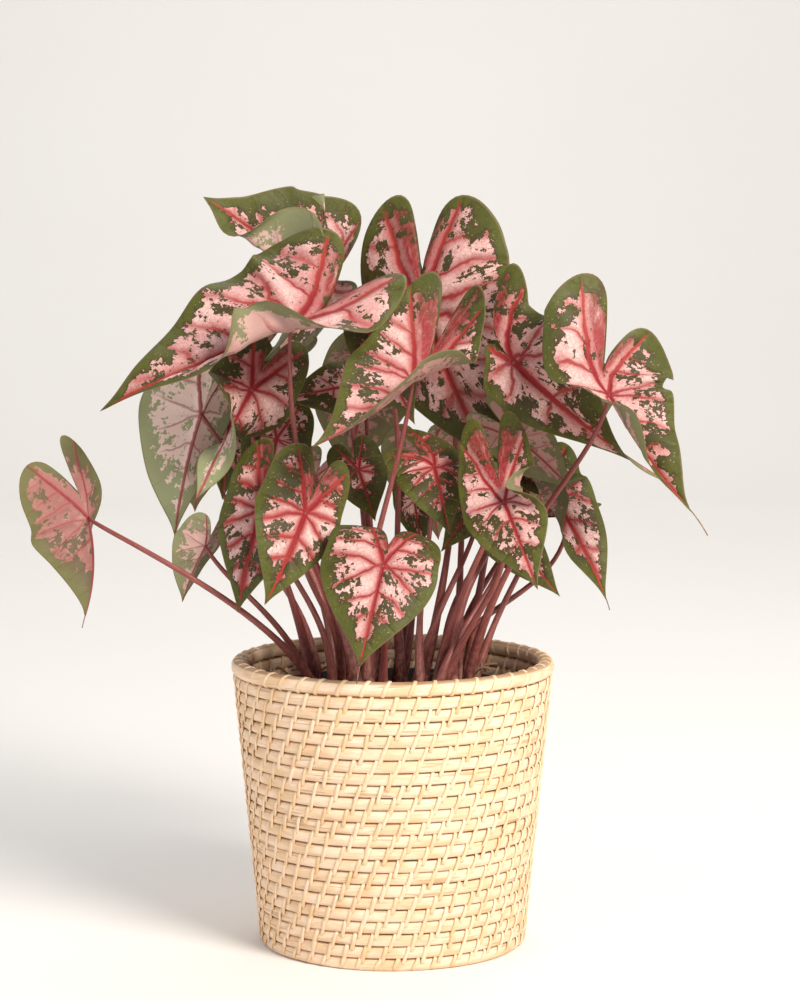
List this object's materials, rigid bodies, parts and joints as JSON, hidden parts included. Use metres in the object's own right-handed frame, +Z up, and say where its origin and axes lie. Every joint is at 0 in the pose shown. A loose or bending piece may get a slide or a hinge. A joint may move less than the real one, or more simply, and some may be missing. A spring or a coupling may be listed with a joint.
{
  "type": "potted caladium",
  "caption": "Potted caladium: heart-shaped waved leaves, pink with red veins and green margins, on dark stalks, in a tapered coiled rattan basket.",
  "frame": {"origin": "centre of the basket's flat underside, on the surface it stands on", "axes": "+Z up; -Y towards the viewer of the reference picture; +X to that viewer's right"},
  "size_m": [0.4394, 0.3086, 0.519],
  "materials": {
    "blade": "satin",
    "stalk": "satin",
    "rattan": "satin",
    "pot": "matte",
    "soil": "matte"
  },
  "bodies": {
    "root": {"basket": "rattan", "nursery_pot": "pot", "soil": "soil", "stalks_front_left": "stalk", "stalks_front_centre": "stalk", "stalks_front_right": "stalk", "stalks_left": "stalk", "stalks_centre": "stalk", "stalks_right": "stalk", "stalks_back": "stalk", "blade_back_centre": "blade", "blade_front_centre": "blade", "blade_upper_left": "blade", "blade_top_left": "blade", "blade_shaded_centre": "blade", "blade_twisted_left": "blade", "blade_hanging_left": "blade", "blade_far_left": "blade", "blade_small_left": "blade", "blade_middle_left": "blade", "blade_low_left": "blade", "blade_front_left": "blade", "blade_deep_centre": "blade", "blade_middle_centre": "blade", "blade_front_right": "blade", "blade_front_low": "blade", "blade_upper_right": "blade", "blade_far_right": "blade", "blade_low_right": "blade", "blade_turned_right": "blade", "blade_tip_right": "blade", "blade_low_centre": "blade", "blade_inner_back": "blade", "blade_inner_right": "blade", "blade_level_right": "blade", "blade_pale_left": "blade", "blade_inner_left": "blade", "blade_rear_left": "blade", "blade_back_upper_right": "blade", "blade_back_upper_centre": "blade", "blade_back_upper_left": "blade", "blade_back_far_right": "blade", "blade_back_low_centre": "blade", "blade_back_low_left": "blade", "blade_back_low_right": "blade", "blade_back_far_left": "blade"}
  },
  "joints": []
}
